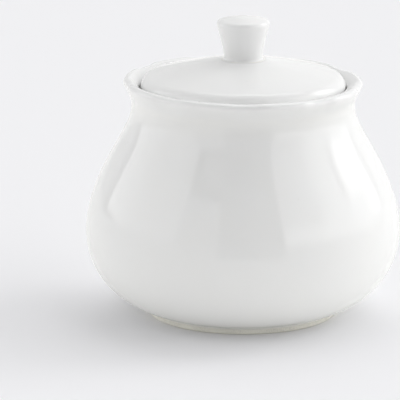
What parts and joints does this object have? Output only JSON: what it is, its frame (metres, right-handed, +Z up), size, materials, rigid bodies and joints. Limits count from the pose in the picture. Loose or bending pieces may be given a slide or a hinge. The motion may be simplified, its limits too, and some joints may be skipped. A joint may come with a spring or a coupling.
{
  "type": "sugar bowl",
  "caption": "Round-bellied white porcelain sugar bowl with a short foot ring, a narrow neck and a scalloped flared lip, with a low domed lid and a tapered finger knob.",
  "frame": {"origin": "centre of the foot ring on the surface that the bowl stands on", "axes": "+Z up along the axis of the bowl and its lid, -Y towards the front; the scallops of the lip are the only thing that is not round"},
  "size_m": [0.12, 0.12, 0.1147],
  "materials": {
    "white_porcelain": "white porcelain under a clear gloss glaze; the resting face of the foot ring is unglazed and matt",
    "white_porcelain_lid": "white porcelain under a clear gloss glaze; the seat under the edge and the tip of the flange are wiped clean",
    "white_porcelain_knob": "white porcelain under a clear gloss glaze"
  },
  "bodies": {
    "bowl": {"bowl": "white_porcelain"},
    "lid": {"lid": "white_porcelain_lid", "knob": "white_porcelain_knob"}
  },
  "joints": [
    {"name": "lid_lift", "type": "slide", "parent": "bowl", "child": "lid", "axis": [0, 0, 1], "range_m": [0, 0.06]}
  ]
}
